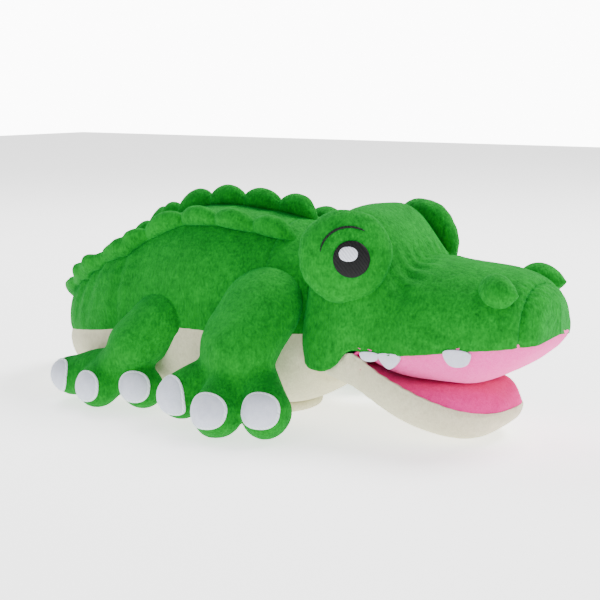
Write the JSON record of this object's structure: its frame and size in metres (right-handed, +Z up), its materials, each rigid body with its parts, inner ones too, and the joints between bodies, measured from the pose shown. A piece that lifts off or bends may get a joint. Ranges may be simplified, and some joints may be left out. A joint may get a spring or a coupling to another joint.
{
  "type": "moving mouth hand puppet",
  "caption": "Plush crocodile hand puppet that lies on its belly; the hand goes in below and moves the head and the lower jaw.",
  "frame": {"origin": "on the floor, under the middle of the whole puppet", "axes": "+X towards the snout, +Y to the animal's left, +Z up"},
  "size_m": [0.3433, 0.1918, 0.1233],
  "materials": {
    "plush_green": "short pile plush, light sheen",
    "plush_cream": "short pile plush",
    "palate_pink": "smooth brushed knit",
    "tongue_pink": "smooth brushed knit",
    "felt_white": "pressed felt with stitched edge",
    "eye_black": "satin stitched disc",
    "highlight_white": "satin stitching",
    "thread_dark": "embroidery thread",
    "lining": "plain woven lining",
    "filling": "polyester fibre filling",
    "board": "matt plastic sheet"
  },
  "bodies": {
    "torso": {"torso_back_panel": "plush_green", "torso_belly_panel": "plush_cream", "torso_padding": "filling", "hand_lining": "lining", "opening_hem": "plush_cream", "back_scallops_right": "plush_green", "back_scallops_centre": "plush_green", "back_scallops_left": "plush_green"},
    "tail": {"tail_upper_panel": "plush_green", "tail_under_panel": "plush_cream", "tail_stuffing": "filling", "tail_scallops": "plush_green"},
    "head": {"neck_sleeve": "plush_green", "head_panel": "plush_green", "snout_cap": "plush_green", "throat_panel": "plush_cream", "head_padding": "filling", "finger_pocket": "lining", "eye_pad_right": "plush_green", "eye_pad_left": "plush_green", "eye_right": "eye_black", "eye_left": "eye_black", "eye_highlights": "highlight_white", "brow_stitching": "thread_dark", "nostril_right": "plush_green", "nostril_left": "plush_green", "upper_mouth_board": "board", "palate_lining": "palate_pink", "teeth_right": "felt_white", "teeth_left": "felt_white"},
    "jaw": {"jaw_panel": "plush_cream", "jaw_padding": "filling", "thumb_pocket": "lining", "lower_mouth_board": "board", "tongue_lining": "tongue_pink"},
    "front_right_leg": {"front_right_leg_skin": "plush_green", "front_right_leg_stuffing": "filling", "front_right_claws": "felt_white"},
    "front_left_leg": {"front_left_leg_skin": "plush_green", "front_left_leg_stuffing": "filling", "front_left_claws": "felt_white"},
    "rear_right_leg": {"rear_right_leg_skin": "plush_green", "rear_right_leg_stuffing": "filling", "rear_right_claws": "felt_white"},
    "rear_left_leg": {"rear_left_leg_skin": "plush_green", "rear_left_leg_stuffing": "filling", "rear_left_claws": "felt_white"}
  },
  "joints": [
    {"name": "neck_nod", "type": "hinge", "parent": "torso", "child": "head", "pos_m": [0.0355, 0, 0.062], "axis": [0, -1, 0], "range_deg": [-8, 22], "stiffness_Nm_per_rad": 0.4},
    {"name": "jaw_hinge", "type": "hinge", "parent": "head", "child": "jaw", "pos_m": [0.0695, 0, 0.045], "axis": [0, -1, 0], "range_deg": [-16, 16], "stiffness_Nm_per_rad": 0.12},
    {"name": "tail_swing", "type": "hinge", "parent": "torso", "child": "tail", "pos_m": [-0.0935, 0, 0.05], "axis": [0, 0, 1], "range_deg": [-6, 20], "stiffness_Nm_per_rad": 0.15},
    {"name": "front_right_leg_lift", "type": "hinge", "parent": "torso", "child": "front_right_leg", "pos_m": [0.01099, -0.06222, 0.07], "axis": [-1, 0, 0], "range_deg": [-4, 45], "stiffness_Nm_per_rad": 0.05},
    {"name": "front_left_leg_lift", "type": "hinge", "parent": "torso", "child": "front_left_leg", "pos_m": [0.01099, 0.06222, 0.07], "axis": [1, 0, 0], "range_deg": [-4, 45], "stiffness_Nm_per_rad": 0.05},
    {"name": "rear_right_leg_lift", "type": "hinge", "parent": "torso", "child": "rear_right_leg", "pos_m": [-0.07415, -0.06279, 0.056], "axis": [-1, 0, 0], "range_deg": [-4, 45], "stiffness_Nm_per_rad": 0.05},
    {"name": "rear_left_leg_lift", "type": "hinge", "parent": "torso", "child": "rear_left_leg", "pos_m": [-0.07415, 0.06279, 0.056], "axis": [1, 0, 0], "range_deg": [-4, 45], "stiffness_Nm_per_rad": 0.05}
  ]
}
